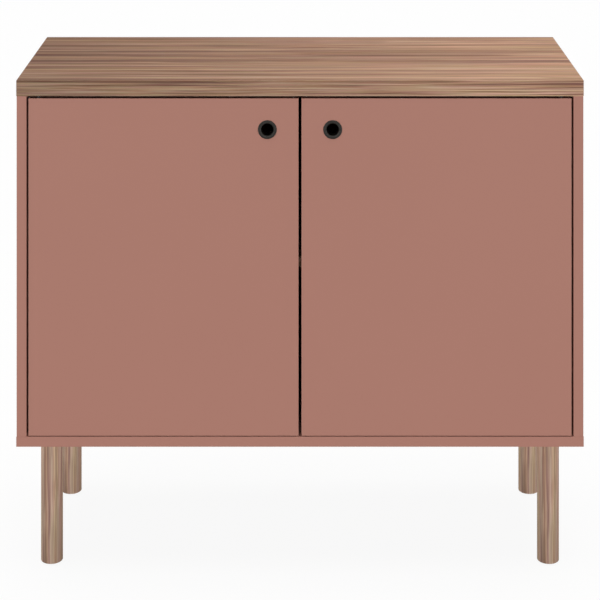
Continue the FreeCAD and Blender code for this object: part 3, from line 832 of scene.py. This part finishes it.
def small_screw_head(length):
    """A countersunk head with its shank and point."""
    outline = [(small_head - small_bevel, 0), (small_head, small_rim),
               (small_shank, small_head - small_shank), (small_shank, length - small_point),
               (point_end, length)]
    return cross_head(outline=outline, **small_cross)


for side in ("left", "right"):
    low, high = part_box(side + "_strike_screws")
    level = (low.z + high.z) / 2
    starts = [(low.x + small_head, high.y, level), (high.x - small_head, high.y, level)]
    turned_piece(side + "_strike_cross_screws", side + "_strike_screws", "zinc_plate",
                 *small_screw_head(high.y - low.y), starts, (0, -1, 0))

low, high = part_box("catch_screws")
tab_screw_inset = 5.5 * MM
cases = [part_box(side + "_catch_case") for side in ("left", "right")]
starts = [(x, (low.y + high.y) / 2, low.z) for case_low, case_high in cases
          for x in (case_low.x + tab_screw_inset, case_high.x - tab_screw_inset)]
turned_piece("catch_cross_screws", "catch_screws", "zinc_plate", *small_screw_head(high.z - low.z),
             starts, (0, 0, 1))

# %% Put in the screws of the leg plates
low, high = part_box("leg_plate_screws")
pan_head, pan_height, pan_shank, pan_point = 3.5 * MM, 1.6 * MM, 1.9 * MM, 3.0 * MM
pan_round = 1.2 * MM
pan_cross = {"half_arm": 0.48 * MM, "reach": 2.0 * MM, "depth": 1.1 * MM}
leg_screw_spread = 19.0 * MM
leg_boxes = [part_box(name + "_leg") for name in leg_names]
leg_centres = [(leg_low + leg_high) / 2 for leg_low, leg_high in leg_boxes]
starts = [(centre.x + across * leg_screw_spread, centre.y + back * leg_screw_spread, low.z)
          for centre in leg_centres for across in (-1, 1) for back in (-1, 1)]
pan = rounded(pan_head - pan_round, pan_round, pan_round, -90, 0, 5).tolist()
outline = pan + [(pan_head, pan_height), (pan_shank, pan_height), (pan_shank, high.z - low.z - pan_point),
                 (point_end, high.z - low.z)]
turned_piece("leg_plate_cross_screws", "leg_plate_screws", "zinc_plate",
             *cross_head(outline=outline, **pan_cross), starts, (0, 0, 1))

# %% Put in the long screws of the base
low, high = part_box("base_screws")
long_head, long_head_height, long_neck, long_thread = 5.0 * MM, 3.5 * MM, 3.5 * MM, 2.9 * MM
long_bevel, key_half_across, key_depth = 0.4 * MM, 2.0 * MM, 2.4 * MM
outline = [(long_head - long_bevel, 0), (long_head, long_bevel), (long_head, long_head_height),
           (long_neck, long_head_height), (long_neck, base_high.z - base_low.z),
           (long_thread, base_high.z - base_low.z), (long_thread, high.z - low.z - pan_point),
           (point_end, high.z - low.z)]
starts = [(x, y, low.z) for x in (low.x + long_head, high.x - long_head)
          for y in (low.y + long_head, high.y - long_head)]
turned_piece("base_key_screws", "base_screws", "zinc_plate",
             *hexagon_head(key_half_across, key_depth, outline), starts, (0, 0, 1))

# %% [markdown]
# ## Which piece wears which finish
#
# The record of the packed model names a material slot for every node, so the match is a table of
# slots, with the top, the shelf, each leg and each ring picked out by name.

# %% Give every node its finish
slot_finish = {
    "rose_paint": "rose_lacquer", "back_board": "back_hardboard", "zinc_steel": "zinc_plate",
    "black_steel": "black_steel", "brown_nylon": "brown_nylon", "beech": "dowel_beech",
    "ferrite": "magnet_ferrite", "black_plastic": "glide_plastic",
}


def finish_of(node):
    """The finish of a node: by its own name first, and otherwise by its material slot."""
    if node == "top_panel":
        return "walnut_top"
    if node == "shelf":
        return "walnut_shelf"
    if node.endswith("_leg"):
        return "walnut_" + node.removesuffix("_leg")
    if "finger_ring" in node or "ring_back" in node:
        return node.split("_")[0] + "_ring_metal"
    return slot_finish[node_slot[node]]


for node, piece in frame["nodes"].items():
    piece.data.materials.clear()
    piece.data.materials.append(finishes[finish_of(node)])
print("dressed", len(frame["nodes"]), "nodes")

# %% [markdown] ## Last things
